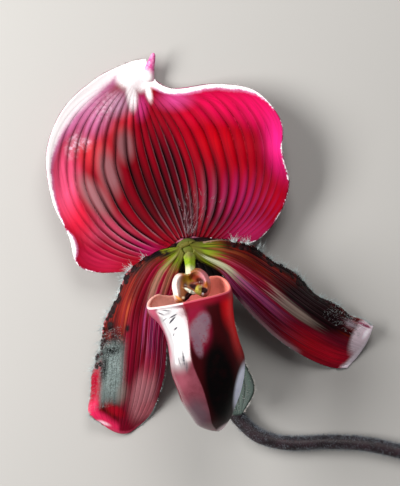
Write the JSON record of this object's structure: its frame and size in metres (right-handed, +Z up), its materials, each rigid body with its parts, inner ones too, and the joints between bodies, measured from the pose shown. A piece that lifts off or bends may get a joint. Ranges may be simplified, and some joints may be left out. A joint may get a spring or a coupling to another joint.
{
  "type": "paphiopedilum orchid",
  "caption": "Picked slipper orchid bloom lying face up, with a broad pleated dorsal sepal, warty arching petals, a hollow keeled pouch and its cut hairy stem.",
  "frame": {"origin": "on the table, under the middle of the bloom's bounding box", "axes": "+Z up from the table, +Y from the toe of the pouch to the tip of the dorsal sepal, +X along the cut stem to its end"},
  "size_m": [0.1153, 0.1076, 0.04],
  "materials": {
    "sepal": "satin, pleated, crimson to magenta with a white margin at the tip",
    "petal": "satin, green at the base, dark red, with black warts on one margin",
    "lower_sepal": "satin, pale grey green",
    "pouch": "glossy, dark maroon",
    "column": "waxy, yellow green",
    "staminode": "waxy, cream to pink with an olive middle",
    "anther": "waxy, pale yellow",
    "ovary": "downy, olive green with purple ribs",
    "bract": "downy, green",
    "stem": "downy, dark purple"
  },
  "bodies": {
    "root": {"dorsal_sepal": "sepal", "petal_left": "petal", "petal_right": "petal", "lower_sepal": "lower_sepal", "pouch": "pouch", "column": "column", "staminode": "staminode", "anther_left": "anther", "anther_right": "anther", "ovary": "ovary", "bract": "bract", "stem": "stem"}
  },
  "joints": []
}
